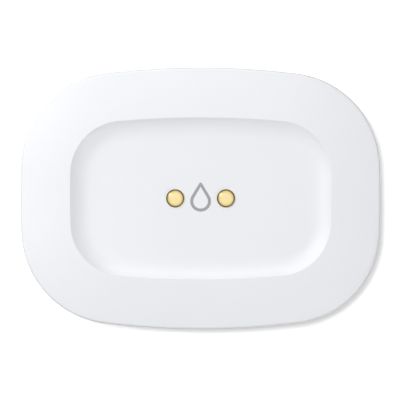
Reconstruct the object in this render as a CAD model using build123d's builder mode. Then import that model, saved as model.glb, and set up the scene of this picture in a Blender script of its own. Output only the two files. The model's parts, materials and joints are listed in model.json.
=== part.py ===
from build123d import *
import os
from math import sin, cos, tan, asin, atan2, sqrt, pi

# Water leak sensor. A low white case has a shallow tray on top that catches drips, with two gold contacts
# in its middle, and four more contacts under its base. A lithium cell lies behind a twist-off door in the
# base, and a board carries the radio, the sounder, the status light and the switch of the setup button.
# Millimetres, +Z up. The origin is on the floor, under the middle of the case.

os.makedirs("parts", exist_ok=True)

# Case, seen from above: a rectangle with bowed sides and large round corners
case_half_x = 55.0
case_half_y = 40.0
case_bow_x = 2.0
case_bow_y = 6.0
case_corner = 29.0

# Case, seen from the side
foot_height = 1.6
seam_drop = 5.5
case_taper = 4.0
base_round = 4.0
base_round_sections = 6
dome_drop = 3.0
dome_step = 7.0
dome_step_rise = 1.7
edge_round = 1.0
side_wall = 2.0
floor_wall = 2.0
top_wall = 1.8
room_round = 2.0
seam_bevel = 0.25

# Tray
tray_half_x = 39.8
tray_half_y = 24.7
tray_bow_x = 0.4
tray_bow_y = 2.8
tray_corner = 16.2
tray_depth = 3.0
tray_run = 5.8
crest_land = 0.3

# Seam between the two halves of the case
lip_wall = 0.9
lip_height = 2.0
gasket_height = 0.6
fit_gap = 0.1

# Gold contacts in the tray and under the base
contact_x = 7.75
contact_head_radius = 2.8
contact_head_height = 0.9
contact_rim = 0.25
contact_round = 0.3
contact_stem_radius = 1.2
contact_stem_length = 3.6
contact_seal_radius = 2.2
contact_seal_height = 0.65
contact_nut_radius = 2.4
contact_nut_height = 0.8
probe_edge = 11.0
probe_y = 8.0
probe_head_height = 0.8
stem_gap = 0.05

# Spring strips from the contacts to the board
strip_width = 3.0
strip_thickness = 0.3
strip_bend = 0.6
strip_drop_y = 7.2
strip_foot = 3.0
strip_tail = 1.9
probe_spring_reach = 2.6

# Screws that hold the case together, and the feet that cover them
screw_x = 34.5
screw_y = 20.5
boss_radius = 3.6
screw_head_radius = 2.2
screw_head_height = 1.6
screw_seat_z = 6.5
screw_radius = 1.2
screw_bite = 4.0
screw_hole_gap = 0.2
foot_radius = 4.0
foot_sink = 0.4
foot_plug = 2.0
foot_round = 0.5

# Lithium cell
cell_radius = 8.5
cell_length = 34.5
cell_nub_radius = 3.2
cell_nub_length = 1.0
cell_edge = 0.6
cell_room = 0.4
cell_y = -8.0

# Twist-off door
door_turn = 60
door_drop = 1.2
door_bore_radius = 22.4
door_flange_radius = 22.9
door_flange = 1.0
door_plate = 1.6
door_root_height = 3.0
door_skirt_radius = 20.9
door_skirt_wall = 1.5
door_skirt_height = 6.8
door_edge = 0.3
door_gap = 0.3
collar_wall = 2.0
collar_height = 5.0
lug_count = 3
lug_angle = 36
lug_height = 1.0
lug_rise = 5.3
lug_gap = 0.05
ledge_angle = 56
ledge_height = 1.3
ledge_sink = 0.3
ledge_stop_angle = 4
ledge_stop_height = 1.2
coin_slot_length = 20.0
coin_slot_width = 2.2
coin_slot_depth = 1.0
seal_thickness = 1.0
seal_groove_depth = 1.1
seal_gap = 0.05
pad_length = 16.0
pad_width = 6.0
pad_height = 0.6

# Collar ribs
gusset_count = 8
gusset_length = 3.2
gusset_height = 3.6
rib_wall = 1.0

# Board and its standoffs
board_inset = 12.0
board_z = 9.2
board_thickness = 1.6
board_window_x = 22.6
board_window_gap = 0.5
board_notch_gap = 0.6
standoff_x = 26.0
standoff_north_y = 14.0
standoff_south_y = -23.0
standoff_radius = 2.2
board_screw_radius = 1.0
board_screw_head_radius = 1.9
board_screw_head_height = 1.3
board_screw_length = 6.0

# Cell holder and its contacts
holder_wall = 1.2
holder_gap = 0.2
holder_low_z = 9.4
rail_height = 5.1
holder_wall_height = 7.6
holder_ear = 2.2
holder_ear_height = 1.0
spring_room = 3.0
cell_contact_width = 6.0
cell_contact_height = 5.2

# Cover ribs and light guide
cover_rib_x = 27.0
cover_rib_y = 12.0
cover_rib_depth = 1.8
guide_y = 5.0
guide_radius = 1.4
guide_skin = 0.8
guide_gap = 0.1
led_size = 1.6
led_height = 0.7

# Sounder, with its port in the base
sounder_x = -13.0
sounder_y = 21.0
sounder_radius = 6.0
sounder_height = 5.0
sounder_mouth_radius = 1.1
sounder_mouth_depth = 1.2
membrane_height = 0.2
port_ring_radius = 2.8
port_radius = 0.7
port_count = 6
gasket_ring_wall = 1.4

# Setup button and its switch
button_x = 13.0
button_y = 21.0
button_radius = 3.5
button_gap = 0.25
button_recess = 0.3
button_flange = 1.1
button_flange_height = 0.8
button_travel = 0.5
button_nub_radius = 1.3
button_dish_radius = 9.0
button_dish_depth = 0.35
guide_ring_wall = 1.1
guide_ring_height = 1.6
switch_size = 6.2
switch_height = 3.4
plunger_radius = 1.6
plunger_reach = 0.9
plunger_sunk = 1.4
plunger_gap = 0.1
touch_gap = 0.05

# Radio and small parts on the board
radio_x = -34.0
radio_y = -2.0
radio_width = 15.0
radio_length = 20.0
radio_thickness = 0.8
can_height = 2.2
can_wall = 0.3
can_margin = 1.0
antenna_length = 9.0
antenna_width = 2.0
antenna_height = 1.2
antenna_room = 2.0
processor_x = 31.0
processor_y = 2.0
processor_size = 7.0
chip_height = 0.9
memory_x = 17.0
memory_y = 12.0
memory_length = 5.0
memory_width = 4.0
regulator_x = 31.0
regulator_y = -8.0
regulator_size = 3.5
inductor_radius = 2.4
inductor_height = 2.6
inductor_x = 30.0
inductor_y = -15.0
crystal_x = 31.0
crystal_y = 9.5
crystal_length = 3.2
crystal_width = 2.5
climate_x = 39.0
climate_y = -4.0
climate_size = 2.5
climate_slot_width = 0.8
climate_slot_reach = 2.2
capacitor_length = 2.0
capacitor_width = 1.2
capacitor_height = 1.0
capacitor_pitch_x = 4.2
capacitor_pitch_y = 3.6
capacitor_columns = 3
capacitor_rows = 2
capacitor_x = 1.0
capacitor_y = 16.0

# How far a cut runs past what it cuts
over = 2.0

# Places and sizes worked out from the values above
base_z = foot_height
floor_z = base_z + floor_wall
cell_z = base_z + door_plate + pad_height + cell_radius
tray_under_z = cell_z + cell_radius + cell_room
tray_floor_z = tray_under_z + top_wall
case_height = tray_floor_z + tray_depth
edge_z = case_height - dome_drop
seam_z = edge_z - seam_drop
tray_arc = (tray_run**2 + tray_depth**2) / (2 * tray_depth)
floor_inset = case_taper * (seam_z - floor_z) / (seam_z - base_z)
side_lean = atan2(case_taper, seam_z - seam_bevel - base_z)
round_reach = base_round * tan((pi / 2 - side_lean) / 2)
cell_end_x = cell_length / 2
probe_x = case_half_x - case_taper - probe_edge
collar_radius = door_bore_radius + collar_wall
board_top_z = board_z + board_thickness
recess_radius = screw_head_radius + screw_hole_gap
ledge_pitch = door_drop * 360 / door_turn
lug_z = base_z + lug_rise
ledge_inner_radius = door_skirt_radius + screw_hole_gap
seal_z = base_z + door_root_height - seal_groove_depth / 2 - door_edge
rail_outer_y = cell_radius + holder_gap + holder_wall
can_length = radio_length - 2 * can_margin - antenna_width - antenna_width / 2 - antenna_room
wall_east_x = cell_end_x + strip_thickness
wall_west_x = -cell_end_x - spring_room - strip_thickness


def grown_bow(bow, half_chord, grow):
    """The bow of a side whose arc keeps its centre while its radius and half chord grow."""
    radius = (half_chord**2 + bow**2) / (2 * bow) + grow
    return radius - sqrt(radius**2 - (half_chord + grow) ** 2)


def bowed_outline(half_x, half_y, bow_x, bow_y, corner, grow=0):
    """A rectangle with four bowed sides and round corners, drawn in or let out by grow."""
    point_x = half_x + grow - grown_bow(bow_x, half_y - bow_y, grow)
    point_y = half_y + grow - grown_bow(bow_y, half_x - bow_x, grow)
    half_x = half_x + grow
    half_y = half_y + grow
    with BuildSketch() as flat:
        with BuildLine():
            ThreePointArc((-point_x, point_y), (0, half_y), (point_x, point_y))
            ThreePointArc((point_x, point_y), (half_x, 0), (point_x, -point_y))
            ThreePointArc((point_x, -point_y), (0, -half_y), (-point_x, -point_y))
            ThreePointArc((-point_x, -point_y), (-half_x, 0), (-point_x, point_y))
        make_face()
        fillet(flat.vertices(), corner + grow)
    return flat.sketch


def case_outline(grow=0):
    return bowed_outline(case_half_x, case_half_y, case_bow_x, case_bow_y, case_corner, grow)


def tray_outline(grow=0):
    return bowed_outline(tray_half_x, tray_half_y, tray_bow_x, tray_bow_y, tray_corner, grow)


def tray_pan(skin=0):
    """The hollow of the tray, whose wall is an arc that runs out into the floor, with a skin around it."""
    with BuildPart() as pan:
        with BuildSketch(Plane.XY.offset(tray_floor_z - skin)):
            add(tray_outline(tray_arc - tray_run + skin))
        extrude(amount=2 * (tray_arc + skin))
        fillet(pan.faces().sort_by(Axis.Z)[0].edges(), tray_arc + skin)
    return pan.part


def dome_form(inset=0, skin=0):
    """The upper half of the case as a solid form, drawn in at its side and lowered by a skin."""
    with BuildPart() as form:
        with BuildSketch(Plane.XY.offset(edge_z - skin)):
            add(case_outline(-inset))
        with BuildSketch(Plane.XY.offset(edge_z + dome_step_rise - skin)):
            add(case_outline(-dome_step))
        with BuildSketch(Plane.XY.offset(case_height - skin)):
            add(tray_outline(crest_land))
        loft()
        with BuildSketch(Plane.XY.offset(seam_z)):
            add(case_outline(-inset))
        extrude(amount=edge_z - skin - seam_z)
    return form.part


def contact_stud(head_height, stem_length):
    """A gold contact with a low domed head, standing on the surface that it goes through."""
    crown = head_height - contact_rim
    dome_radius = (contact_head_radius**2 + crown**2) / (2 * crown)
    half_angle = asin(contact_head_radius / dome_radius) / 2
    shoulder_z = head_height - 2 * dome_radius * sin(half_angle / 2) ** 2
    with BuildPart() as stud:
        with BuildSketch(Plane.XZ) as profile:
            with BuildLine():
                Line((0, -stem_length), (contact_stem_radius, -stem_length))
                Line((contact_stem_radius, -stem_length), (contact_stem_radius, 0))
                Line((contact_stem_radius, 0), (contact_head_radius, 0))
                Line((contact_head_radius, 0), (contact_head_radius, contact_rim))
                ThreePointArc(
                    (contact_head_radius, contact_rim),
                    (dome_radius * sin(half_angle), shoulder_z),
                    (0, head_height),
                )
                Line((0, head_height), (0, -stem_length))
            make_face()
            fillet(profile.vertices().group_by(Axis.X)[-1].sort_by(Axis.Y)[-1], contact_round)
        revolve(axis=Axis.Z)
    return stud.part


def ring(outer_radius, inner_radius, height):
    """A flat ring standing on the plane z = 0."""
    with BuildPart() as band:
        with BuildSketch():
            Circle(outer_radius)
            Circle(inner_radius, mode=Mode.SUBTRACT)
        extrude(amount=height)
    return band.part


def bent_strip(plane, points, width):
    """A thin metal strip that follows points in a plane, with a small bend at each corner."""
    with BuildPart() as strip:
        with BuildLine(plane) as route:
            FilletPolyline(*points, radius=strip_bend)
        with BuildSketch(Plane(origin=route.line @ 0, x_dir=plane.z_dir, z_dir=route.line % 0)):
            Rectangle(width, strip_thickness)
        sweep()
    return strip.part


def ramp(inner_radius, outer_radius, low, high, from_angle, to_angle):
    """A block that climbs around the door's axis at the pitch of the door's ledges."""
    middle = (inner_radius + outer_radius) / 2
    climb = ledge_pitch * (to_angle - from_angle) / 360
    with BuildPart() as block:
        with BuildLine() as route:
            Helix(pitch=ledge_pitch, height=climb, radius=middle)
        with BuildSketch(Plane(origin=route.line @ 0, x_dir=(-1, 0, 0), z_dir=route.line % 0)):
            with Locations((0, (low + high) / 2)):
                Rectangle(outer_radius - inner_radius, high - low)
        sweep(is_frenet=True)
    return block.part.rotate(Axis.Z, from_angle).translate((0, 0, ledge_pitch * from_angle / 360))


def board_chip(x, y, length, width, height):
    """A rectangular part soldered on top of the board."""
    with BuildPart() as chip:
        with BuildSketch(Plane.XY.offset(board_top_z)):
            with Locations((x, y)):
                Rectangle(length, width)
        extrude(amount=height)
    return chip.part


def keep(part, name):
    """Labels a finished piece and writes it as parts/NAME.step."""
    part.label = name
    export_step(part, "parts/" + name + ".step")


# Hollow inside the upper half, with its screw bosses and ribs left standing
with BuildPart() as cover_room:
    add(dome_form(side_wall, top_wall))
    add(tray_pan(top_wall), mode=Mode.SUBTRACT)
    with BuildSketch(Plane.XY.offset(seam_z)):
        with GridLocations(2 * screw_x, 2 * screw_y, 2, 2):
            Circle(boss_radius)
    extrude(amount=case_height - seam_z, mode=Mode.SUBTRACT)
    with BuildSketch(Plane.XY.offset(tray_under_z - cover_rib_depth)):
        with GridLocations(2 * cover_rib_x, 0, 2, 1):
            Rectangle(rib_wall, 2 * case_half_y)
        with Locations((0, cover_rib_y)):
            Rectangle(2 * cover_rib_x, rib_wall)
    extrude(amount=case_height - tray_under_z + cover_rib_depth, mode=Mode.SUBTRACT)

# Upper half of the case, with the tray
with BuildPart() as top_cover:
    add(dome_form())
    fillet(top_cover.edges().filter_by_position(Axis.Z, edge_z, edge_z), edge_round)
    chamfer(top_cover.edges().filter_by_position(Axis.Z, seam_z, seam_z), seam_bevel)
    add(tray_pan(), mode=Mode.SUBTRACT)
    add(cover_room.part, mode=Mode.SUBTRACT)
    with BuildSketch(Plane.XY.offset(seam_z)):
        add(case_outline(lip_wall + fit_gap - side_wall))
        add(case_outline(-side_wall), mode=Mode.SUBTRACT)
    extrude(amount=lip_height + gasket_height, mode=Mode.SUBTRACT)
    with BuildSketch(Plane.XY.offset(seam_z)):
        with GridLocations(2 * screw_x, 2 * screw_y, 2, 2):
            Circle(screw_radius)
    extrude(amount=screw_bite, mode=Mode.SUBTRACT)
    with BuildSketch(Plane.XY.offset(tray_under_z)):
        with GridLocations(2 * contact_x, 0, 2, 1):
            Circle(contact_stem_radius + stem_gap)
    extrude(amount=tray_depth + top_wall, mode=Mode.SUBTRACT)
    with BuildSketch(Plane.XY.offset(tray_floor_z)):
        with GridLocations(2 * contact_x, 0, 2, 1):
            Circle(contact_seal_radius)
    extrude(amount=-contact_seal_height, mode=Mode.SUBTRACT)
    with BuildSketch(Plane.XY.offset(tray_under_z)):
        with Locations((0, guide_y)):
            Circle(guide_radius + guide_gap)
    extrude(amount=top_wall - guide_skin, mode=Mode.SUBTRACT)
keep(top_cover.part, "top_cover")

# Hollow inside the lower half, with its bosses, standoffs, door collar and button ring left standing
with BuildPart() as gusset:
    with BuildSketch(Plane.XZ):
        with BuildLine():
            Polyline(
                (collar_radius - fit_gap, floor_z),
                (collar_radius + gusset_length, floor_z),
                (collar_radius - fit_gap, floor_z + gusset_height),
                close=True,
            )
        make_face()
    extrude(amount=rib_wall / 2, both=True)

well_radius = button_radius + button_flange + button_gap
collar = ring(collar_radius, door_bore_radius, collar_height)
button_well = ring(well_radius + guide_ring_wall, well_radius, guide_ring_height)

with BuildPart() as case_room:
    with BuildSketch(Plane.XY.offset(seam_z)):
        add(case_outline(-side_wall))
    with BuildSketch(Plane.XY.offset(floor_z)):
        add(case_outline(-floor_inset - side_wall))
    loft(ruled=True)
    fillet(case_room.faces().sort_by(Axis.Z)[0].edges(), room_round)
    with Locations((0, cell_y, floor_z)):
        add(collar, mode=Mode.SUBTRACT)
    with Locations((0, cell_y, 0)):
        with PolarLocations(0, gusset_count):
            add(gusset.part, mode=Mode.SUBTRACT)
    with Locations((button_x, button_y, floor_z)):
        add(button_well, mode=Mode.SUBTRACT)
    with BuildSketch(Plane.XY.offset(floor_z)):
        with GridLocations(2 * screw_x, 2 * screw_y, 2, 2):
            Circle(boss_radius)
    extrude(amount=seam_z - floor_z, mode=Mode.SUBTRACT)
    with BuildSketch(Plane.XY.offset(floor_z)):
        with Locations((0, standoff_north_y), (0, standoff_south_y)):
            with GridLocations(2 * standoff_x, 0, 2, 1):
                Circle(standoff_radius)
    extrude(amount=board_z - floor_z, mode=Mode.SUBTRACT)

# One of the ledges that the door's lugs ride on, with the stop that ends the turn
with BuildPart() as ledge:
    ledge_end = ledge_angle / 2
    stop_start = lug_angle / 2 + 1
    wall_radius = door_bore_radius + ledge_sink
    add(ramp(ledge_inner_radius, wall_radius, -ledge_height, 0, -ledge_end, ledge_end))
    stop_end = stop_start + ledge_stop_angle
    add(ramp(ledge_inner_radius, wall_radius, -fit_gap, ledge_stop_height, stop_start, stop_end))

# Lower half of the case: straight leaning sides, then sections of the round that runs under the base
with BuildPart() as bottom_case:
    with BuildSketch(Plane.XY.offset(seam_z)):
        add(case_outline(-seam_bevel))
    with BuildSketch(Plane.XY.offset(seam_z - seam_bevel)):
        add(case_outline())
    with BuildSketch(Plane.XY.offset(base_z + round_reach * cos(side_lean))):
        add(case_outline(-case_taper + round_reach * sin(side_lean)))
    loft(ruled=True)
    for step in range(base_round_sections):
        turn = (pi / 2 - side_lean) * step / (base_round_sections - 1)
        with BuildSketch(Plane.XY.offset(base_z + base_round * (1 - cos(turn)))):
            add(case_outline(-case_taper - round_reach + base_round * sin(turn)))
    loft()
    add(case_room.part, mode=Mode.SUBTRACT)
    with BuildSketch(Plane.XY.offset(seam_z)):
        add(case_outline(lip_wall - side_wall))
        add(case_outline(-side_wall), mode=Mode.SUBTRACT)
    extrude(amount=lip_height)
    # Door opening
    with BuildSketch(Plane.XY.offset(base_z)):
        with Locations((0, cell_y)):
            Circle(door_bore_radius)
    extrude(amount=floor_wall, mode=Mode.SUBTRACT)
    with BuildSketch(Plane.XY.offset(base_z)):
        with Locations((0, cell_y)):
            Circle(door_flange_radius + door_gap)
    extrude(amount=door_flange + fit_gap, mode=Mode.SUBTRACT)
    with Locations((0, cell_y, lug_z - lug_gap)):
        with PolarLocations(0, lug_count):
            add(ledge.part)
    # Screw recesses, seats for the feet and screw holes
    with BuildSketch(Plane.XY.offset(base_z)):
        with GridLocations(2 * screw_x, 2 * screw_y, 2, 2):
            Circle(recess_radius)
    extrude(amount=screw_seat_z - base_z, mode=Mode.SUBTRACT)
    with BuildSketch(Plane.XY.offset(base_z)):
        with GridLocations(2 * screw_x, 2 * screw_y, 2, 2):
            Circle(foot_radius + fit_gap)
    extrude(amount=foot_sink, mode=Mode.SUBTRACT)
    with BuildSketch(Plane.XY.offset(screw_seat_z)):
        with GridLocations(2 * screw_x, 2 * screw_y, 2, 2):
            Circle(screw_radius + screw_hole_gap)
    extrude(amount=seam_z - screw_seat_z, mode=Mode.SUBTRACT)
    with BuildSketch(Plane.XY.offset(board_z)):
        with Locations((0, standoff_north_y), (0, standoff_south_y)):
            with GridLocations(2 * standoff_x, 0, 2, 1):
                Circle(board_screw_radius)
    extrude(amount=board_thickness - board_screw_length, mode=Mode.SUBTRACT)
    # Button hole, sound port and holes for the contacts
    with BuildSketch(Plane.XY.offset(base_z)):
        with Locations((button_x, button_y)):
            Circle(button_radius + button_gap)
        with Locations((sounder_x, sounder_y)):
            Circle(port_radius)
            with PolarLocations(port_ring_radius, port_count):
                Circle(port_radius)
        with GridLocations(2 * probe_x, 2 * probe_y, 2, 2):
            Circle(contact_stem_radius + stem_gap)
    extrude(amount=floor_wall, mode=Mode.SUBTRACT)
    with BuildSketch(Plane.XY.offset(base_z)):
        with GridLocations(2 * probe_x, 2 * probe_y, 2, 2):
            Circle(contact_seal_radius)
    extrude(amount=contact_seal_height, mode=Mode.SUBTRACT)
keep(bottom_case.part, "bottom_case")

# Gasket between the lip of the lower half and the rebate of the upper half
with BuildPart() as seam_gasket:
    with BuildSketch(Plane.XY.offset(seam_z + lip_height)):
        add(case_outline(lip_wall - side_wall))
        add(case_outline(-side_wall), mode=Mode.SUBTRACT)
    extrude(amount=gasket_height)
keep(seam_gasket.part, "seam_gasket")

# Contacts in the tray, their seals, strips and nuts
top_stud = contact_stud(contact_head_height, contact_stem_length)
contact_seal = ring(contact_seal_radius, contact_stem_radius, contact_seal_height)
contact_nut = ring(contact_nut_radius, contact_stem_radius, contact_nut_height)

for side, name in ((-1, "left"), (1, "right")):
    with BuildPart() as top_contact:
        with Locations((side * contact_x, 0, tray_floor_z)):
            add(top_stud)
    keep(top_contact.part, name + "_top_contact")

    strip_z = tray_under_z - strip_thickness / 2
    foot_z = board_top_z + strip_thickness / 2
    with BuildPart() as contact_strip:
        add(
            bent_strip(
                Plane.YZ.offset(side * contact_x),
                [
                    (-strip_tail, strip_z),
                    (strip_drop_y, strip_z),
                    (strip_drop_y, foot_z),
                    (strip_drop_y + strip_foot, foot_z),
                ],
                strip_width,
            )
        )
        with BuildSketch(Plane.XY.offset(tray_under_z)):
            with Locations((side * contact_x, 0)):
                Circle(contact_stem_radius + stem_gap)
        extrude(amount=-strip_thickness, mode=Mode.SUBTRACT)
    keep(contact_strip.part, name + "_contact_strip")

with BuildPart() as top_contact_seals:
    with GridLocations(2 * contact_x, 0, 2, 1):
        with Locations((0, 0, tray_floor_z - contact_seal_height)):
            add(contact_seal)
keep(top_contact_seals.part, "top_contact_seals")

with BuildPart() as top_contact_nuts:
    with GridLocations(2 * contact_x, 0, 2, 1):
        with Locations((0, 0, tray_under_z - strip_thickness - contact_nut_height)):
            add(contact_nut)
keep(top_contact_nuts.part, "top_contact_nuts")

# Contacts under the base, their seals and nuts, and the springs that join them to the board
probe_stem = floor_wall + contact_nut_height + strip_thickness
base_stud = contact_stud(probe_head_height, probe_stem)
with BuildPart() as base_contacts:
    with GridLocations(2 * probe_x, 2 * probe_y, 2, 2):
        with Locations(Location((0, 0, base_z), (180, 0, 0))):
            add(base_stud)
keep(base_contacts.part, "base_contacts")

with BuildPart() as base_contact_seals:
    with GridLocations(2 * probe_x, 2 * probe_y, 2, 2):
        with Locations((0, 0, base_z)):
            add(contact_seal)
keep(base_contact_seals.part, "base_contact_seals")

with BuildPart() as base_contact_nuts:
    with GridLocations(2 * probe_x, 2 * probe_y, 2, 2):
        with Locations((0, 0, floor_z)):
            add(contact_nut)
keep(base_contact_nuts.part, "base_contact_nuts")

spring_low_z = base_z + probe_stem + strip_thickness / 2
spring_high_z = board_z - strip_thickness / 2
contact_spring = bent_strip(
    Plane.XZ,
    [
        (contact_stem_radius, spring_low_z),
        (-probe_spring_reach, spring_low_z),
        (-probe_spring_reach, spring_high_z),
        (contact_stem_radius, spring_high_z),
    ],
    2 * contact_stem_radius,
)
with BuildPart() as base_contact_springs:
    with GridLocations(2 * probe_x, 2 * probe_y, 2, 2):
        add(contact_spring)
keep(base_contact_springs.part, "base_contact_springs")

# Feet and the case screws above them
with BuildPart() as rubber_feet:
    with BuildSketch():
        with GridLocations(2 * screw_x, 2 * screw_y, 2, 2):
            Circle(foot_radius)
    extrude(amount=base_z + foot_sink)
    fillet(rubber_feet.edges().group_by(Axis.Z)[0], foot_round)
    with BuildSketch(Plane.XY.offset(base_z + foot_sink)):
        with GridLocations(2 * screw_x, 2 * screw_y, 2, 2):
            Circle(screw_head_radius)
    extrude(amount=foot_plug)
keep(rubber_feet.part, "rubber_feet")

with BuildPart() as case_screws:
    with BuildSketch(Plane.XY.offset(screw_seat_z - screw_head_height)):
        with GridLocations(2 * screw_x, 2 * screw_y, 2, 2):
            Circle(screw_head_radius)
    extrude(amount=screw_head_height)
    with BuildSketch(Plane.XY.offset(screw_seat_z)):
        with GridLocations(2 * screw_x, 2 * screw_y, 2, 2):
            Circle(screw_radius)
    extrude(amount=seam_z + screw_bite - fit_gap - screw_seat_z)
keep(case_screws.part, "case_screws")

# Lithium cell, lying along X
with BuildPart() as battery_cell:
    with BuildSketch(Plane.YZ.offset(-cell_end_x)):
        with Locations((cell_y, cell_z)):
            Circle(cell_radius)
    extrude(amount=cell_length - cell_nub_length)
    fillet(battery_cell.edges().filter_by(GeomType.CIRCLE), cell_edge)
    with BuildSketch(Plane.YZ.offset(cell_end_x)):
        with Locations((cell_y, cell_z)):
            Circle(cell_nub_radius)
    extrude(amount=-cell_nub_length)
keep(battery_cell.part, "battery_cell")

# Holder around the cell, standing on the board by its ears
with BuildPart() as battery_holder:
    holder_length = wall_east_x - wall_west_x + 2 * holder_wall
    holder_middle_x = (wall_east_x + wall_west_x) / 2
    with BuildSketch(Plane.XY.offset(holder_low_z)):
        with Locations((holder_middle_x, cell_y)):
            Rectangle(holder_length, 2 * rail_outer_y)
    extrude(amount=rail_height)
    with BuildSketch(Plane.XY.offset(holder_low_z + rail_height)):
        for wall_x in (wall_east_x + holder_wall / 2, wall_west_x - holder_wall / 2):
            with Locations((wall_x, cell_y)):
                Rectangle(holder_wall, 2 * cell_contact_width)
    extrude(amount=holder_wall_height - rail_height)
    with BuildSketch(Plane.XY.offset(board_top_z)):
        with Locations((holder_middle_x, cell_y)):
            with GridLocations(holder_length - holder_ear, 2 * rail_outer_y, 2, 2):
                Rectangle(holder_ear, 2 * holder_ear)
    extrude(amount=holder_ear_height)
    with BuildSketch(Plane.YZ.offset(wall_west_x)):
        with Locations((cell_y, cell_z)):
            Circle(cell_radius + holder_gap)
    extrude(amount=wall_east_x - wall_west_x, mode=Mode.SUBTRACT)
    with BuildSketch(Plane.XY.offset(holder_low_z)):
        with Locations((holder_middle_x, cell_y)):
            Rectangle(holder_length + over, cell_contact_width + 2 * fit_gap)
    extrude(amount=board_top_z + strip_thickness + strip_bend - holder_low_z, mode=Mode.SUBTRACT)
keep(battery_holder.part, "battery_holder")

# Contacts at the ends of the cell
contact_foot_x = board_window_x + strip_foot
foot_line_z = board_top_z + strip_thickness / 2
with BuildPart() as positive_contact:
    add(
        bent_strip(
            Plane.XZ.offset(-cell_y),
            [
                (contact_foot_x, foot_line_z),
                (cell_end_x + strip_thickness / 2, foot_line_z),
                (cell_end_x + strip_thickness / 2, board_top_z + cell_contact_height),
            ],
            cell_contact_width,
        )
    )
keep(positive_contact.part, "positive_contact")

with BuildPart() as negative_contact:
    back_x = -cell_end_x - spring_room - strip_thickness / 2
    add(
        bent_strip(
            Plane.XZ.offset(-cell_y),
            [
                (-contact_foot_x, foot_line_z),
                (back_x, foot_line_z),
                (back_x, board_top_z + cell_contact_height),
                (-cell_end_x - strip_thickness, cell_z),
                (-cell_end_x - strip_thickness - spring_room / 2, board_top_z + 2 * strip_thickness),
            ],
            cell_contact_width,
        )
    )
keep(negative_contact.part, "negative_contact")

# Door, with its skirt, seal groove, lugs and coin slot
lug_end = lug_angle / 2
lug_tip_radius = door_bore_radius - screw_hole_gap
lug = ramp(door_skirt_radius - ledge_sink, lug_tip_radius, 0, lug_height, -lug_end, lug_end)
root_radius = door_bore_radius - door_gap
groove_radius = door_bore_radius - seal_gap - seal_thickness - seal_gap

with BuildPart() as battery_door:
    with BuildSketch(Plane.XZ):
        with BuildLine():
            Polyline(
                (0, base_z),
                (door_flange_radius, base_z),
                (door_flange_radius, base_z + door_flange),
                (root_radius, base_z + door_flange),
                (root_radius, seal_z - seal_groove_depth / 2),
                (groove_radius, seal_z - seal_groove_depth / 2),
                (groove_radius, seal_z + seal_groove_depth / 2),
                (root_radius, seal_z + seal_groove_depth / 2),
                (root_radius, base_z + door_root_height),
                (door_skirt_radius, base_z + door_root_height),
                (door_skirt_radius, base_z + door_skirt_height),
                (door_skirt_radius - door_skirt_wall, base_z + door_skirt_height),
                (door_skirt_radius - door_skirt_wall, base_z + door_plate),
                (0, base_z + door_plate),
                close=True,
            )
        make_face()
    revolve(axis=Axis.Z)
    chamfer(battery_door.edges().group_by(Axis.Z)[0], door_edge)
    with Locations((0, 0, lug_z)):
        with PolarLocations(0, lug_count):
            add(lug)
    with BuildSketch(Plane.XY.offset(base_z)):
        SlotOverall(coin_slot_length, coin_slot_width)
    extrude(amount=coin_slot_depth, mode=Mode.SUBTRACT)
keep(battery_door.part.translate((0, cell_y, 0)), "battery_door")

with BuildPart() as door_seal:
    with BuildSketch(Plane.XZ):
        with Locations((door_bore_radius - seal_gap - seal_thickness / 2, seal_z)):
            Circle(seal_thickness / 2)
    revolve(axis=Axis.Z)
keep(door_seal.part.translate((0, cell_y, 0)), "door_seal")

with BuildPart() as cell_pad:
    with BuildSketch(Plane.XY.offset(base_z + door_plate)):
        with Locations((0, cell_y)):
            RectangleRounded(pad_length, pad_width, pad_height)
    extrude(amount=pad_height)
keep(cell_pad.part, "cell_pad")

# Board, open around the cell and notched around the screw bosses
with BuildPart() as main_board:
    with BuildSketch(Plane.XY.offset(board_z)):
        add(case_outline(-board_inset))
        with Locations((0, cell_y)):
            Rectangle(2 * board_window_x, 2 * (rail_outer_y + board_window_gap), mode=Mode.SUBTRACT)
        with GridLocations(2 * screw_x, 2 * screw_y, 2, 2):
            Circle(boss_radius + board_notch_gap, mode=Mode.SUBTRACT)
        with Locations((0, standoff_north_y), (0, standoff_south_y)):
            with GridLocations(2 * standoff_x, 0, 2, 1):
                Circle(board_screw_radius + screw_hole_gap, mode=Mode.SUBTRACT)
        slot_step = climate_size + 2 * climate_slot_width
        with Locations((climate_x - slot_step, climate_y)):
            Rectangle(climate_slot_width, slot_step + 2 * climate_slot_reach, mode=Mode.SUBTRACT)
    extrude(amount=board_thickness)
keep(main_board.part, "main_board")

with BuildPart() as board_screws:
    with BuildSketch(Plane.XY.offset(board_top_z)):
        with Locations((0, standoff_north_y), (0, standoff_south_y)):
            with GridLocations(2 * standoff_x, 0, 2, 1):
                Circle(board_screw_head_radius)
    extrude(amount=board_screw_head_height)
    with BuildSketch(Plane.XY.offset(board_top_z)):
        with Locations((0, standoff_north_y), (0, standoff_south_y)):
            with GridLocations(2 * standoff_x, 0, 2, 1):
                Circle(board_screw_radius)
    extrude(amount=fit_gap - board_screw_length)
keep(board_screws.part, "board_screws")

# Status light on the board and the guide that carries it up to the tray's floor
keep(board_chip(0, guide_y, led_size, led_size, led_height), "status_led")

with BuildPart() as light_guide:
    with BuildSketch(Plane.XY.offset(board_top_z + led_height + fit_gap)):
        with Locations((0, guide_y)):
            Circle(guide_radius)
    extrude(amount=tray_floor_z - guide_skin - board_top_z - led_height - fit_gap)
keep(light_guide.part, "light_guide")

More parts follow.
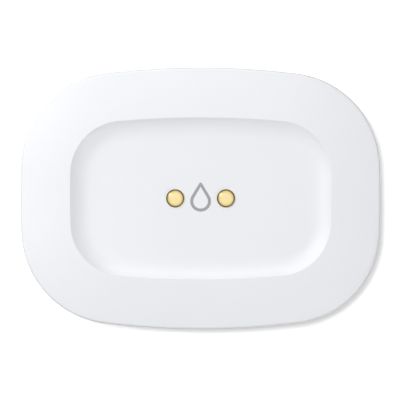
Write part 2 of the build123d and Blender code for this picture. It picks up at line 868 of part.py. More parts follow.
# Sounder under the board, over its ring gasket and the membrane that keeps water out of the port
with BuildPart() as sounder:
    with BuildSketch(Plane.XY.offset(board_z)):
        with Locations((sounder_x, sounder_y)):
            Circle(sounder_radius)
    extrude(amount=-sounder_height)
    with BuildSketch(Plane.XY.offset(board_z - sounder_height)):
        with Locations((sounder_x, sounder_y)):
            Circle(sounder_mouth_radius)
    extrude(amount=sounder_mouth_depth, mode=Mode.SUBTRACT)
keep(sounder.part, "sounder")

with BuildPart() as sound_membrane:
    with BuildSketch(Plane.XY.offset(floor_z)):
        with Locations((sounder_x, sounder_y)):
            Circle(sounder_radius)
    extrude(amount=membrane_height)
keep(sound_membrane.part, "sound_membrane")

ring_height = board_z - sounder_height - floor_z - membrane_height
foam_ring = ring(sounder_radius, sounder_radius - gasket_ring_wall, ring_height)
with BuildPart() as sounder_gasket:
    with Locations((sounder_x, sounder_y, floor_z + membrane_height)):
        add(foam_ring)
keep(sounder_gasket.part, "sounder_gasket")

# Setup button, which is pushed up from below
switch_z = board_z - switch_height
button_top_z = switch_z - plunger_reach - touch_gap
with BuildPart() as setup_button:
    with BuildSketch(Plane.XY.offset(base_z + button_recess)):
        with Locations((button_x, button_y)):
            Circle(button_radius)
    extrude(amount=floor_wall - button_recess + touch_gap)
    with BuildSketch(Plane.XY.offset(floor_z + touch_gap)):
        with Locations((button_x, button_y)):
            Circle(button_radius + button_flange)
    extrude(amount=button_flange_height)
    with BuildSketch(Plane.XY.offset(floor_z + touch_gap + button_flange_height)):
        with Locations((button_x, button_y)):
            Circle(button_nub_radius)
    extrude(amount=button_top_z - floor_z - touch_gap - button_flange_height)
    with Locations((button_x, button_y, base_z + button_recess + button_dish_depth - button_dish_radius)):
        Sphere(button_dish_radius, mode=Mode.SUBTRACT)
keep(setup_button.part, "setup_button")

with BuildPart() as switch_body:
    with BuildSketch(Plane.XY.offset(switch_z)):
        with Locations((button_x, button_y)):
            Rectangle(switch_size, switch_size)
    extrude(amount=switch_height)
    with BuildSketch(Plane.XY.offset(switch_z)):
        with Locations((button_x, button_y)):
            Circle(plunger_radius + plunger_gap)
    extrude(amount=plunger_sunk + button_travel + plunger_gap, mode=Mode.SUBTRACT)
keep(switch_body.part, "switch_body")

with BuildPart() as switch_plunger:
    with BuildSketch(Plane.XY.offset(switch_z - plunger_reach)):
        with Locations((button_x, button_y)):
            Circle(plunger_radius)
    extrude(amount=plunger_reach + plunger_sunk)
keep(switch_plunger.part, "switch_plunger")

# Radio: a small board with a shield can and a chip antenna
keep(board_chip(radio_x, radio_y, radio_width, radio_length, radio_thickness), "radio_board")

radio_top_z = board_top_z + radio_thickness
can_y = radio_y + radio_length / 2 - can_margin - can_length / 2
with BuildPart() as shield_can:
    with BuildSketch(Plane.XY.offset(radio_top_z)):
        with Locations((radio_x, can_y)):
            Rectangle(radio_width - 2 * can_margin, can_length)
    extrude(amount=can_height)
    fillet(shield_can.edges().filter_by(Axis.Z), can_margin)
    with BuildSketch(Plane.XY.offset(radio_top_z)):
        with Locations((radio_x, can_y)):
            Rectangle(radio_width - 2 * (can_margin + can_wall), can_length - 2 * can_wall)
    extrude(amount=can_height - can_wall, mode=Mode.SUBTRACT)
keep(shield_can.part, "shield_can")

with BuildPart() as antenna:
    with BuildSketch(Plane.XY.offset(radio_top_z)):
        with Locations((radio_x, radio_y - radio_length / 2 + can_margin + antenna_width)):
            Rectangle(antenna_length, antenna_width)
    extrude(amount=antenna_height)
keep(antenna.part, "antenna")

# Other parts on the board
keep(board_chip(processor_x, processor_y, processor_size, processor_size, chip_height), "processor")
keep(board_chip(memory_x, memory_y, memory_length, memory_width, chip_height), "memory_chip")
keep(board_chip(regulator_x, regulator_y, regulator_size, regulator_size, chip_height), "power_regulator")
keep(board_chip(crystal_x, crystal_y, crystal_length, crystal_width, chip_height), "crystal")
keep(board_chip(climate_x, climate_y, climate_size, climate_size, chip_height), "climate_sensor")

with BuildPart() as inductor:
    with BuildSketch(Plane.XY.offset(board_top_z)):
        with Locations((inductor_x, inductor_y)):
            Circle(inductor_radius)
    extrude(amount=inductor_height)
keep(inductor.part, "inductor")

with BuildPart() as capacitors:
    with BuildSketch(Plane.XY.offset(board_top_z)):
        with Locations((capacitor_x, capacitor_y)):
            with GridLocations(capacitor_pitch_x, capacitor_pitch_y, capacitor_columns, capacitor_rows):
                Rectangle(capacitor_length, capacitor_width)
    extrude(amount=capacitor_height)
keep(capacitors.part, "capacitors")
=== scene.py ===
"""Looks of the water leak sensor, seen straight from above on a white ground."""

import json
import math

import bmesh
import bpy
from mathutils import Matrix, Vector

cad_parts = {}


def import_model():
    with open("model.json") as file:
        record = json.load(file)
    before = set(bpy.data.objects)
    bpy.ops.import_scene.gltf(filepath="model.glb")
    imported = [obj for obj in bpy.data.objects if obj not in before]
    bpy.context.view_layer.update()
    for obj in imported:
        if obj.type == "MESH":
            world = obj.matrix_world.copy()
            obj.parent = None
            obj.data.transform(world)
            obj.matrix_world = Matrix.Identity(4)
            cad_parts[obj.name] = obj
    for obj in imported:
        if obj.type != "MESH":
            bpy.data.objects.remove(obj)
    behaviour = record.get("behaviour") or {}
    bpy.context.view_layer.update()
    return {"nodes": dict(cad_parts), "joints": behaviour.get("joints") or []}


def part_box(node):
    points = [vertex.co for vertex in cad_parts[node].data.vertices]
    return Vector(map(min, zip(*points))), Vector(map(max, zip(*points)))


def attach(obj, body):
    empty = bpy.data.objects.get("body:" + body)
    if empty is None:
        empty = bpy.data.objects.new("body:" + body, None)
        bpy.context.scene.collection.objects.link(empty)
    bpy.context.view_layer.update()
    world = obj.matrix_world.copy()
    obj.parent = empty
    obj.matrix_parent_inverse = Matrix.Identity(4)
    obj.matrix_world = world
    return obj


MM = 0.001

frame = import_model()
nodes = frame["nodes"]
scene = bpy.context.scene


def box_of(name):
    """The lowest and highest corners of a CAD node, in millimetres to the nearest hundredth."""
    return [[round(value / MM, 2) for value in corner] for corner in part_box(name)]


def middle_of(name):
    """The middle of a CAD node as seen from above, in millimetres to the nearest hundredth."""
    low, high = box_of(name)
    return tuple(round((low[axis] + high[axis]) / 2, 2) for axis in (0, 1))


# Places on the part, in millimetres
DOME_DROP = 3.85  # from the crest around the tray down to the cover's outer edge
CASE_HALF_X, CASE_HALF_Y, CREST_Z = box_of("top_cover")[1]
EDGE_Z = CREST_Z - DOME_DROP
TRAY_FLOOR = box_of("top_contact_seals")[1][2]
BASE_Z = box_of("bottom_case")[0][2]
BOARD_TOP = box_of("main_board")[1][2]

# The door as seen on the base, in millimetres and degrees
DOOR_CENTRE = middle_of("battery_door")
DOOR_RADIUS = box_of("battery_door")[1][0] - DOOR_CENTRE[0]
DOOR_TRAVEL = next(joint["range_deg"][1] for joint in frame["joints"] if joint["name"] == "door_turn")
SHUT_ANGLE = 90
OPEN_ANGLE = SHUT_ANGLE - DOOR_TRAVEL

# Most of a noise texture's values lie between these
NOISE_LOW = 0.3
NOISE_HIGH = 0.7

# Light and camera, with lengths in metres
FLOOR_GLOW = 0.29  # the floor's own white beside the object, which leaves the shadow visible
GLOW_FROM = (CASE_HALF_X + 7.0) * MM  # from here outward the floor's own white rises ...
GLOW_FULL_AT = 0.16  # ... to full white here
AMBIENT = 0.02  # strength of the world as a light; where it is seen directly it is white
LAMP_DISTANCE = 0.6  # from the part's origin to each softbox
SOFTBOX_SIZE = 0.4
GLINT_SIZE = 0.12
CAMERA_HEIGHT = 3.0
VIEW_CENTRE = (-0.185 * MM, -0.5 * MM)
PICTURE_WIDTH = 122.2 * MM  # across the picture at the tray's height


# Materials
def add_node(tree, kind, settings=None, **inputs):
    """A new node, with its inputs set to values or linked to sockets."""
    made = tree.nodes.new(kind)
    for key, value in (settings or {}).items():
        setattr(made, key, value)
    for key, value in inputs.items():
        socket = made.inputs[key.replace("_", " ")]
        if isinstance(value, bpy.types.NodeSocket):
            tree.links.new(value, socket)
        else:
            socket.default_value = value
    return made


def combined(tree, operation, first, second):
    """The values of two sockets, put together by a Math node."""
    made = add_node(tree, "ShaderNodeMath", {"operation": operation})
    tree.links.new(first, made.inputs[0])
    tree.links.new(second, made.inputs[1])
    return made.outputs[0]


class Look:
    """A node material built around one Principled shader, in object coordinates measured in millimetres."""

    def __init__(self, name, color, rough, metal=0.0, **sockets):
        self.material = bpy.data.materials.new(name)
        self.material.use_nodes = True
        self.tree = self.material.node_tree
        self.shader = self.tree.nodes["Principled BSDF"]
        self.shader.inputs["Base Color"].default_value = (*color, 1.0)
        self.shader.inputs["Roughness"].default_value = rough
        self.shader.inputs["Metallic"].default_value = metal
        for socket, value in sockets.items():
            self.shader.inputs[socket.replace("_", " ")].default_value = value
        self.color = color
        self.rough = rough
        metres = self.node("ShaderNodeTexCoord").outputs["Object"]
        scaled = self.node("ShaderNodeMapping", Vector=metres, Scale=(1 / MM, 1 / MM, 1 / MM))
        self.place = scaled.outputs["Vector"]
        self.normal = None

    def node(self, kind, settings=None, **inputs):
        return add_node(self.tree, kind, settings, **inputs)

    def stretched(self, x, y, z):
        """The place on the object, with its axes scaled."""
        return self.node("ShaderNodeMapping", Vector=self.place, Scale=(x, y, z)).outputs["Vector"]

    def noise(self, per_mm, detail=2.0, place=None):
        made = self.node("ShaderNodeTexNoise", Vector=place or self.place, Scale=per_mm, Detail=detail)
        return made.outputs["Fac"]

    def cells(self, per_mm, feature="F1"):
        made = self.node("ShaderNodeTexVoronoi", {"feature": feature}, Vector=self.place, Scale=per_mm)
        return made.outputs["Distance"]

    def span(self, value, low, high, to_low=0.0, to_high=1.0):
        """The value's way from low to high, as a number from to_low to to_high."""
        limits = {"From_Min": low, "From_Max": high, "To_Min": to_low, "To_Max": to_high}
        return self.node("ShaderNodeMapRange", Value=value, **limits).outputs["Result"]

    def blend(self, factor, first, second):
        """First where the factor is 0, second where it is 1; each a colour or a socket."""
        made = self.node("ShaderNodeMix", {"data_type": "RGBA"}, Factor=factor)
        first_color, second_color = made.inputs[6], made.inputs[7]
        for socket, value in ((first_color, first), (second_color, second)):
            if isinstance(value, bpy.types.NodeSocket):
                self.tree.links.new(value, socket)
            else:
                socket.default_value = (*value, 1.0)
        return made.outputs[2]

    def paint(self, value):
        self.tree.links.new(value, self.shader.inputs["Base Color"])

    def roughen(self, value, spread):
        """Roughness that wanders around its own value with the given noise."""
        ranged = self.span(value, NOISE_LOW, NOISE_HIGH, self.rough - spread, self.rough + spread)
        self.tree.links.new(ranged, self.shader.inputs["Roughness"])

    def bump(self, height, depth_mm, strength=1.0):
        """Adds a relief on top of those that were added before."""
        made = self.node("ShaderNodeBump", Height=height, Strength=strength, Distance=depth_mm * MM)
        if self.normal:
            self.tree.links.new(self.normal, made.inputs["Normal"])
        self.normal = made.outputs["Normal"]
        self.tree.links.new(self.normal, self.shader.inputs["Normal"])

    def tint(self, value, amount):
        """Base colour that wanders a little around its own value."""
        dark = tuple(c * (1 - amount) for c in self.color)
        light = tuple(min(1.0, c * (1 + amount)) for c in self.color)
        return self.blend(self.span(value, NOISE_LOW, NOISE_HIGH), dark, light)


def off_edge_shade(look):
    """0 on the round of the cover's outer edge, where painted shade goes, and 1 elsewhere, the tray's floor
    at that height included.
    """
    height = look.node("ShaderNodeSeparateXYZ", Vector=look.place).outputs["Z"]
    above = look.span(height, EDGE_Z + 0.5, EDGE_Z + 1.0)
    below = look.span(height, EDGE_Z + 0.1, EDGE_Z - 0.1)
    # 1 on the oval that touches the case's sides, and less towards the middle
    oval = look.stretched(1 / CASE_HALF_X, 1 / CASE_HALF_Y, 0)
    reach = look.node("ShaderNodeVectorMath", {"operation": "LENGTH"}, Vector=oval).outputs["Value"]
    inside = look.span(reach, 0.97, 0.93)
    away = combined(look.tree, "MAXIMUM", above, below)
    return combined(look.tree, "MAXIMUM", away, inside)


def moulded(name, color, rough, grain_mm, tint=0.006, edge=None):
    """Moulded plastic: fine spark grain, a slow cloud in colour and gloss, and a faint flow of the melt.

    Where edge is given, the round of the cover's edge has that darker colour, which is painted shade."""
    look = Look(name, color, rough, IOR=1.5)
    cloud = look.noise(0.045, 3.0)
    toned = look.tint(cloud, tint)
    # the darker colour on the cover's edge round is painted shade
    look.paint(look.blend(off_edge_shade(look), edge, toned) if edge else toned)
    look.roughen(look.noise(0.5, 4.0), 0.05)
    look.bump(look.noise(7.0, 3.0), grain_mm)
    look.bump(look.noise(0.09, 2.0), 0.02, 0.4)
    return look.material


def rubber(name, color, rough):
    """Matt rubber with a fine, uneven skin."""
    look = Look(name, color, rough, IOR=1.42)
    look.paint(look.tint(look.noise(0.4, 3.0), 0.05))
    look.roughen(look.noise(2.0, 3.0), 0.06)
    look.bump(look.noise(11.0, 4.0), 0.02)
    return look.material


def metal(name, color, rough, streak, painted_tones=None):
    """Metal with fine streaks, clouded gloss and, where tones are given, painted shade and painted dark
    reflection that deepen its colour down to the rim.

    Each tone has the height where it is full, the height where it ends, and its colour."""
    look = Look(name, color, rough, 1.0)
    fine = look.noise(3.0, 4.0, look.stretched(*streak))
    cloud = look.noise(0.7, 3.0)
    toned = look.tint(cloud, 0.04)
    # these tones are painted shade and painted dark reflection, darkening the metal down to its rim
    if painted_tones:
        height = look.node("ShaderNodeSeparateXYZ", Vector=look.place).outputs["Z"]
        for full_mm, end_mm, tone in painted_tones:
            toned = look.blend(look.span(height, full_mm, end_mm), tone, toned)
    look.paint(toned)
    look.roughen(cloud, 0.05)
    look.bump(fine, 0.004)
    return look.material


def board(name):
    """Solder mask over copper tracks, with the glass weave just showing."""
    look = Look(name, (0.035, 0.21, 0.10), 0.32, Coat_Weight=0.4, Coat_Roughness=0.15)
    layout = {"offset": 0.37, "squash": 0.8}
    sizes = {"Scale": 0.55, "Mortar_Size": 0.035, "Brick_Width": 1.7, "Row_Height": 0.45}
    tracks = look.node("ShaderNodeTexBrick", layout, Vector=look.place, **sizes).outputs["Fac"]
    weave = look.node("ShaderNodeTexWave", Vector=look.place, Scale=1.6).outputs["Fac"]
    mask = look.blend(weave, (0.03, 0.19, 0.09), (0.045, 0.25, 0.12))
    look.paint(look.blend(tracks, mask, (0.07, 0.33, 0.15)))
    look.bump(tracks, 0.03)
    look.roughen(look.noise(1.0, 3.0), 0.05)
    return look.material


def wrap(name):
    """Shrink wrap of the cell, with a lighter band at one end and fine lengthwise creases."""
    band_end = box_of("battery_cell")[0][0] + 5.25
    look = Look(name, (0.06, 0.13, 0.36), 0.28, IOR=1.5)
    along = look.node("ShaderNodeSeparateXYZ", Vector=look.place).outputs["X"]
    past_band = look.span(along, band_end - 0.2, band_end)
    body = look.tint(look.noise(0.2, 3.0), 0.08)
    look.paint(look.blend(past_band, (0.72, 0.73, 0.75), body))
    look.bump(look.noise(1.2, 2.0, look.stretched(0.15, 1.6, 1.6)), 0.05, 0.6)
    look.roughen(look.noise(0.8, 3.0), 0.05)
    return look.material


def foam(name):
    """Dark foam with open pores, which are painted darker as painted shade in the holes."""
    look = Look(name, (0.10, 0.10, 0.105), 0.92)
    pores = look.cells(4.0)
    # the pores are darker than the foam around them: painted shade in the holes
    look.paint(look.blend(look.span(pores, 0.05, 0.5), (0.05, 0.05, 0.052), (0.13, 0.13, 0.135)))
    look.bump(pores, 0.12)
    look.roughen(look.noise(2.0), 0.04)
    return look.material


def membrane(name):
    """White woven membrane over the sound port."""
    look = Look(name, (0.86, 0.86, 0.86), 0.7, Sheen_Weight=0.2)
    mesh = look.cells(9.0, "DISTANCE_TO_EDGE")
    look.paint(look.blend(look.span(mesh, 0.0, 0.2), (0.76, 0.76, 0.76), (0.9, 0.9, 0.9)))
    look.bump(mesh, 0.03)
    look.roughen(look.noise(1.0), 0.05)
    return look.material


def resin(name, color, rough):
    """Cast or pressed resin with a fine grain, as on the electronic parts."""
    look = Look(name, color, rough, IOR=1.55)
    look.paint(look.tint(look.noise(1.5, 4.0), 0.12))
    look.roughen(look.noise(3.0, 3.0), 0.06)
    look.bump(look.noise(16.0, 3.0), 0.012)
    return look.material


def clear(name):
    """Clear plastic with a faintly wavy surface."""
    look = Look(name, (0.96, 0.97, 0.98), 0.06, IOR=1.49, Transmission_Weight=1.0)
    look.roughen(look.noise(1.5, 3.0), 0.03)
    look.bump(look.noise(0.6, 2.0), 0.01, 0.5)
    return look.material


def ink(name):
    """Pad printed grey ink, a little uneven, as such ink dries on moulded plastic."""
    look = Look(name, (0.378, 0.37, 0.383), 0.42, IOR=1.45)
    look.paint(look.tint(look.noise(6.0, 4.0), 0.03))
    look.roughen(look.noise(3.0, 3.0), 0.05)
    look.bump(look.noise(9.0, 3.0), 0.01)
    return look.material


# The contacts' gold, which gets deeper and then dark down to the rim: painted shade and painted dark
# reflection on the heads' rounded edges
PALE_GOLD = (0.955, 0.79, 0.42)
SHADED_GOLD = (0.72, 0.53, 0.22)
DARK_REFLECTION_GOLD = (0.15, 0.112, 0.038)
top_tones = (
    (TRAY_FLOOR + 0.45, TRAY_FLOOR + 0.74, SHADED_GOLD),
    (TRAY_FLOOR + 0.39, TRAY_FLOOR + 0.53, DARK_REFLECTION_GOLD),
)
base_tones = (
    (BASE_Z - 0.4, BASE_Z - 0.62, SHADED_GOLD),
    (BASE_Z - 0.31, BASE_Z - 0.42, DARK_REFLECTION_GOLD),
)

looks = {
    # the white shell's darker edge colour is painted shade on the round of the cover's outer edge
    "white_shell": moulded("white_shell_look", (0.875, 0.885, 0.915), 0.38, 0.004, edge=(0.6, 0.603, 0.61)),
    "white_base": moulded("white_base_look", (0.83, 0.838, 0.858), 0.5, 0.02, 0.012),
    "white_door": moulded("white_door_look", (0.82, 0.828, 0.848), 0.48, 0.02, 0.012),
    "grey_rubber": rubber("grey_rubber_look", (0.42, 0.43, 0.45), 0.62),
    "black_rubber": rubber("black_rubber_look", (0.025, 0.025, 0.028), 0.55),
    "grey_button": rubber("grey_button_look", (0.48, 0.49, 0.51), 0.55),
    "gold": metal("top_gold_look", PALE_GOLD, 0.24, (1, 1, 1), top_tones),
    "steel": metal("steel_look", (0.62, 0.62, 0.635), 0.24, (1, 6, 1)),
    "spring_bronze": metal("spring_bronze_look", (0.72, 0.50, 0.28), 0.28, (0.3, 5, 5)),
    "cell_wrap": wrap("cell_wrap_look"),
    "black_plastic": resin("black_plastic_look", (0.03, 0.03, 0.033), 0.5),
    "green_board": board("green_board_look"),
    "lamp": resin("lamp_look", (0.88, 0.85, 0.55), 0.2),
    "clear_plastic": clear("clear_plastic_look"),
    "white_membrane": membrane("white_membrane_look"),
    "foam": foam("foam_look"),
    "antenna_ceramic": resin("antenna_ceramic_look", (0.80, 0.80, 0.74), 0.45),
    "chip_black": resin("chip_black_look", (0.022, 0.022, 0.025), 0.46),
    "capacitor_tan": resin("capacitor_tan_look", (0.40, 0.28, 0.16), 0.4),
}
base_gold = metal("base_gold_look", PALE_GOLD, 0.24, (1, 1, 1), base_tones)
ink_look = ink("ink_look")

for node in nodes.values():
    for slot in node.material_slots:
        slot.material = looks[slot.material.name.split(".")[0]]
nodes["base_contacts"].material_slots[0].material = base_gold


# Pieces
def piece_of(name, solids, look, body, closed=False, smooth=False):
    """One piece made of solids, each a list of rings of points in millimetres.

    The ends of a solid are capped, or its last ring is joined to its first where closed."""
    mesh = bmesh.new()
    for rings in solids:
        rows = [[mesh.verts.new(Vector(p) * MM) for p in ring] for ring in rings]
        count = len(rows[0])
        pairs = list(zip(rows, rows[1:])) + ([(rows[-1], rows[0])] if closed else [])
        for low, high in pairs:
            for i in range(count):
                j = (i + 1) % count
                mesh.faces.new((low[i], low[j], high[j], high[i])).smooth = smooth
        if not closed:
            mesh.faces.new(rows[0][::-1])
            mesh.faces.new(rows[-1])
    bmesh.ops.recalc_face_normals(mesh, faces=mesh.faces)
    data = bpy.data.meshes.new(name)
    mesh.to_mesh(data)
    mesh.free()
    data.materials.append(look)
    piece = bpy.data.objects.new(name, data)
    scene.collection.objects.link(piece)
    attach(piece, body)


def drop_ring(radius, tip, tip_radius, steps=48, tip_steps=10):
    """A drop: a round end about the origin, a small one at the tip, and straight sides that touch both."""
    lean = math.asin((radius - tip_radius) / tip)
    points = []
    for i in range(steps + 1):
        a = lean - (math.pi + 2 * lean) * i / steps
        points.append((radius * math.cos(a), radius * math.sin(a)))
    for i in range(tip_steps + 1):
        a = math.pi - lean - (math.pi - 2 * lean) * i / tip_steps
        points.append((tip_radius * math.cos(a), tip + tip_radius * math.sin(a)))
    return points


def drop_mark():
    """The grey outline of a drop, printed on the tray's floor between the contacts."""
    half_stroke = 0.465
    radius = 2.71
    centre_y = -0.87
    tip = 5.25
    inner_tip = tip - half_stroke * tip / radius
    inner_tip_radius = 0.03
    outer = drop_ring(radius + half_stroke, tip, half_stroke)
    inner = drop_ring(radius - half_stroke, inner_tip, inner_tip_radius)
    low = TRAY_FLOOR - 0.01
    high = TRAY_FLOOR + 0.02

    def lifted(points, z):
        return [(x, y + centre_y, z) for x, y in points]

    rings = [lifted(outer, low), lifted(outer, high), lifted(inner, high), lifted(inner, low)]
    piece_of("drop_mark", [rings], ink_look, "case", closed=True)


def circle(x, y, radius, z, steps=16):
    """Points of a circle that lies level."""
    turns = [2 * math.pi * i / steps for i in range(steps)]
    return [(x + radius * math.cos(a), y + radius * math.sin(a), z) for a in turns]


def raised(points, centre, angle):
    """Rings of a low figure that stands out from the base, softened at its edge."""
    turn = math.radians(angle)
    # Height from the base's underside, and share of the figure's full size
    levels = ((0.05, 1.0), (-0.16, 1.0), (-0.24, 0.93), (-0.27, 0.8))
    rings = []
    for up, share in levels:
        ring = []
        for x, y in points:
            x, y = x * share, y * share
            ring.append((
                centre[0] + x * math.cos(turn) - y * math.sin(turn),
                centre[1] + x * math.sin(turn) + y * math.cos(turn),
                BASE_Z + up,
            ))
        rings.append(ring)
    return rings


def around_door(radius, angle):
    """The place at that distance from the door's centre, in that direction."""
    turn = math.radians(angle)
    return DOOR_CENTRE[0] + radius * math.cos(turn), DOOR_CENTRE[1] + radius * math.sin(turn)


def bar(half_length, half_width, steps=8):
    """A bar with round ends, along X."""
    points = []
    for end, first in ((half_length - half_width, -90), (half_width - half_length, 90)):
        for i in range(steps + 1):
            a = math.radians(first + 180 * i / steps)
            points.append((end + half_width * math.cos(a), half_width * math.sin(a)))
    return points


def door_marks():
    """Raised marks that show where the door is shut and where it is open."""
    on_case = DOOR_RADIUS + 2.5
    on_door = DOOR_RADIUS - 2.3
    arrow = [(-1.15, 0.0), (0.75, 1.15), (0.75, -1.15)]
    dot = bar(0.55, 0.55)
    line = bar(1.3, 0.42)
    shut = raised(arrow, around_door(on_case, SHUT_ANGLE), SHUT_ANGLE)
    piece_of("shut_mark", [shut], looks["white_base"], "case")
    opened = raised(dot, around_door(on_case, OPEN_ANGLE), OPEN_ANGLE)
    piece_of("open_mark", [opened], looks["white_base"], "case")
    pointer = raised(line, around_door(on_door, SHUT_ANGLE), SHUT_ANGLE)
    piece_of("door_mark", [pointer], looks["white_door"], "battery_door")


def lead(x, y, toward, reach, high, width):
    """One bent leg of a chip: out of its side at (x, y), down and along the board."""
    thick = 0.14
    dx, dy = toward
    path = [(-0.15, high), (reach * 0.35, high), (reach * 0.55, thick * 0.55), (reach, thick * 0.5)]
    rings = []
    for along, z in path:
        centre_x = x + dx * along
        centre_y = y + dy * along
        ring = []
        for side, lift in ((-1, -1), (1, -1), (1, 1), (-1, 1)):
            ring.append((
                centre_x - dy * side * width / 2,
                centre_y + dx * side * width / 2,
                BOARD_TOP + z + lift * thick / 2,
            ))
        rings.append(ring)
    return rings


def leads(name, chip, sides, count, pitch, width, reach, high):
    """The legs of a chip: so many along each of its sides, which are given by the way that they face."""
    centre = middle_of(chip)
    half = [box_of(chip)[1][axis] - centre[axis] for axis in (0, 1)]
    solids = []
    for dx, dy in sides:
        for i in range(count):
            step = (i - (count - 1) / 2) * pitch
            x = centre[0] + dx * half[0] + abs(dy) * step
            y = centre[1] + dy * half[1] + abs(dx) * step
            solids.append(lead(x, y, (dx, dy), reach, high, width))
    piece_of(name, solids, looks["steel"], "case")


def capacitor_ends():
    """Tinned caps over both ends of each capacitor, which stand in three columns and two rows."""
    half_length, half_width = 1.0, 0.6
    (west, south, _), (east, north, top) = box_of("capacitors")
    columns = (west + half_length, (west + east) / 2, east - half_length)
    rows = (south + half_width, north - half_width)
    # Distance from the capacitor's middle, and how far the cap stands out around it
    levels = ((0.62, 0.01), (0.64, 0.035), (half_length, 0.035), (1.04, -0.03))
    solids = []
    for x in columns:
        for y in rows:
            for end in (-1, 1):
                rings = []
                for out, grow in levels:
                    half = half_width + grow
                    rings.append([
                        (x + end * out, y - half, BOARD_TOP),
                        (x + end * out, y + half, BOARD_TOP),
                        (x + end * out, y + half, top + grow),
                        (x + end * out, y - half, top + grow),
                    ])
                solids.append(rings)
    piece_of("capacitor_ends", solids, looks["steel"], "case")


def hoop(x, y, z, radius, wire, steps=40, sides=8):
    """Rings of a closed turn of wire; wire is the wire's own radius."""
    rings = []
    for i in range(steps):
        a = 2 * math.pi * i / steps
        ring = []
        for j in range(sides):
            b = 2 * math.pi * j / sides
            reach = radius + wire * math.cos(b)
            ring.append((x + reach * math.cos(a), y + reach * math.sin(a), z + wire * math.sin(b)))
        rings.append(ring)
    return rings


def inductor_winding():
    """Turns of wire that lie against each other around the inductor's core."""
    look = looks["spring_bronze"]
    x, y = middle_of("inductor")
    radius = box_of("inductor")[1][0] - x
    wire = 0.125
    lowest = BOARD_TOP + 0.6
    turns = [hoop(x, y, lowest + 2 * wire * i, radius, wire) for i in range(7)]
    piece_of("inductor_winding", turns, look, "case", closed=True, smooth=True)


def solder_joints():
    """Small domes of solder where the strips and the cell's contacts meet the board."""
    places = []
    for name in ("left_contact_strip", "right_contact_strip"):
        places.append((middle_of(name)[0], box_of(name)[1][1] - 0.2))
    outer = box_of("positive_contact")[1][0] - 0.4
    middle_y = middle_of("positive_contact")[1]
    for x in (outer, -outer):
        places += [(x, middle_y - 1.6), (x, middle_y + 1.6)]
    shoulder = BOARD_TOP + 0.3
    profile = ((0.62, BOARD_TOP), (0.6, shoulder), (0.42, shoulder + 0.16), (0.12, shoulder + 0.22))
    solids = [[circle(x, y, radius, z) for radius, z in profile] for x, y in places]
    piece_of("solder_joints", solids, looks["steel"], "case", smooth=True)


drop_mark()
door_marks()
ends = ((1, 0), (-1, 0))
flanks = ((0, 1), (0, -1))
leads("memory_leads", "memory_chip", flanks, count=4, pitch=1.27, width=0.36, reach=1.0, high=0.45)
leads("regulator_leads", "power_regulator", ends, count=3, pitch=0.95, width=0.4, reach=0.9, high=0.45)
leads("processor_leads", "processor", ends + flanks, count=12, pitch=0.5, width=0.24, reach=0.8, high=0.4)
capacitor_ends()
inductor_winding()
solder_joints()


# Stage
def seen_directly(tree):
    """1 for rays from the camera, off gloss or through glass, and 0 for all others."""
    path = add_node(tree, "ShaderNodeLightPath").outputs
    mirrored = combined(tree, "MAXIMUM", path["Is Camera Ray"], path["Is Glossy Ray"])
    return combined(tree, "MAXIMUM", mirrored, path["Is Transmission Ray"])


def floor():
    """A white ground that keeps the object's soft contact shadow and is plain white further out."""
    half = 2.0
    corners = [(-half, -half, 0), (half, -half, 0), (half, half, 0), (-half, half, 0)]
    data = bpy.data.meshes.new("ground")
    data.from_pydata(corners, [], [(0, 1, 2, 3)])
    ground = bpy.data.objects.new("ground", data)
    scene.collection.objects.link(ground)
    material = bpy.data.materials.new("ground_look")
    material.use_nodes = True
    tree = material.node_tree
    tree.nodes.clear()
    place = add_node(tree, "ShaderNodeTexCoord").outputs["Object"]
    reach = add_node(tree, "ShaderNodeVectorMath", {"operation": "LENGTH"}, Vector=place).outputs["Value"]
    limits = {"From_Min": GLOW_FROM, "From_Max": GLOW_FULL_AT, "To_Min": FLOOR_GLOW, "To_Max": 1.0}
    smooth = {"interpolation_type": "SMOOTHSTEP"}
    outward = add_node(tree, "ShaderNodeMapRange", smooth, Value=reach, **limits).outputs["Result"]
    level = combined(tree, "MULTIPLY", seen_directly(tree), outward)
    plain = add_node(tree, "ShaderNodeBsdfDiffuse", Color=(0.9, 0.9, 0.9, 1))
    glow = add_node(tree, "ShaderNodeEmission", Strength=level)
    total = add_node(tree, "ShaderNodeAddShader")
    tree.links.new(plain.outputs[0], total.inputs[0])
    tree.links.new(glow.outputs[0], total.inputs[1])
    add_node(tree, "ShaderNodeOutputMaterial", Surface=total.outputs[0])
    data.materials.append(material)


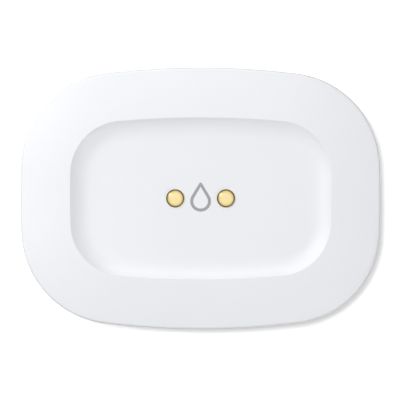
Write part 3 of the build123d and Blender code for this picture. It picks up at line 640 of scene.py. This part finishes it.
def world():
    """Even soft light from all round; white where the camera, gloss or glass sees it."""
    made = bpy.data.worlds.new("studio")
    scene.world = made
    made.use_nodes = True
    tree = made.node_tree
    tree.nodes.clear()
    mix = add_node(tree, "ShaderNodeMixShader", Fac=seen_directly(tree))
    for socket, strength in ((mix.inputs[1], AMBIENT), (mix.inputs[2], 1.0)):
        shade = add_node(tree, "ShaderNodeBackground", Color=(1, 1, 1, 1), Strength=strength)
        tree.links.new(shade.outputs[0], socket)
    add_node(tree, "ShaderNodeOutputWorld", Surface=mix.outputs[0])


def softbox(name, around, above, power, size=SOFTBOX_SIZE):
    """A square lamp that faces the object, from so many degrees around it and above the floor."""
    turn, rise = math.radians(around), math.radians(above)
    direction = Vector((math.cos(turn) * math.cos(rise), math.sin(turn) * math.cos(rise), math.sin(rise)))
    data = bpy.data.lights.new(name, "AREA")
    data.shape = "RECTANGLE"
    data.size = data.size_y = size
    data.energy = power
    lamp = bpy.data.objects.new(name, data)
    scene.collection.objects.link(lamp)
    lamp.location = direction * LAMP_DISTANCE
    lamp.rotation_mode = "QUATERNION"
    lamp.rotation_quaternion = direction.to_track_quat("Z", "Y")
    return lamp


def overhead(toward, strength, spread):
    """A small soft lamp far above, which draws the short shadow beside the case and isn't mirrored in it."""
    data = bpy.data.lights.new("overhead", "SUN")
    data.energy = strength
    data.angle = math.radians(spread)
    lamp = bpy.data.objects.new("overhead", data)
    lamp.visible_glossy = False
    scene.collection.objects.link(lamp)
    lamp.rotation_mode = "QUATERNION"
    lamp.rotation_quaternion = Vector(toward).to_track_quat("Z", "Y")


def camera():
    """Straight above the tray, like the photograph's."""
    data = bpy.data.cameras.new("camera")
    data.angle = 2 * math.atan(PICTURE_WIDTH / 2 / (CAMERA_HEIGHT - TRAY_FLOOR * MM))
    data.clip_start = 0.01
    data.clip_end = 20
    made = bpy.data.objects.new("camera", data)
    made.location = (*VIEW_CENTRE, CAMERA_HEIGHT)
    scene.collection.objects.link(made)
    bpy.context.scene.camera = made


floor()
world()
key = softbox("key", around=161, above=36, power=1.88)
key.visible_glossy = False  # else it would hide the white world in reflections
softbox("corner_fill", around=-45, above=12, power=1.58)
softbox("side_fill", around=0, above=12, power=0.1)
softbox("far_fill", around=90, above=20, power=0.93)
glint = softbox("glint", around=143, above=53, power=0.08, size=GLINT_SIZE)
glint.visible_diffuse = False  # it is there for the bright spots on the contacts
overhead(toward=(-0.066, 0.056, 1.0), strength=1.63, spread=5.5)
camera()
scene.view_settings.view_transform = "Standard"
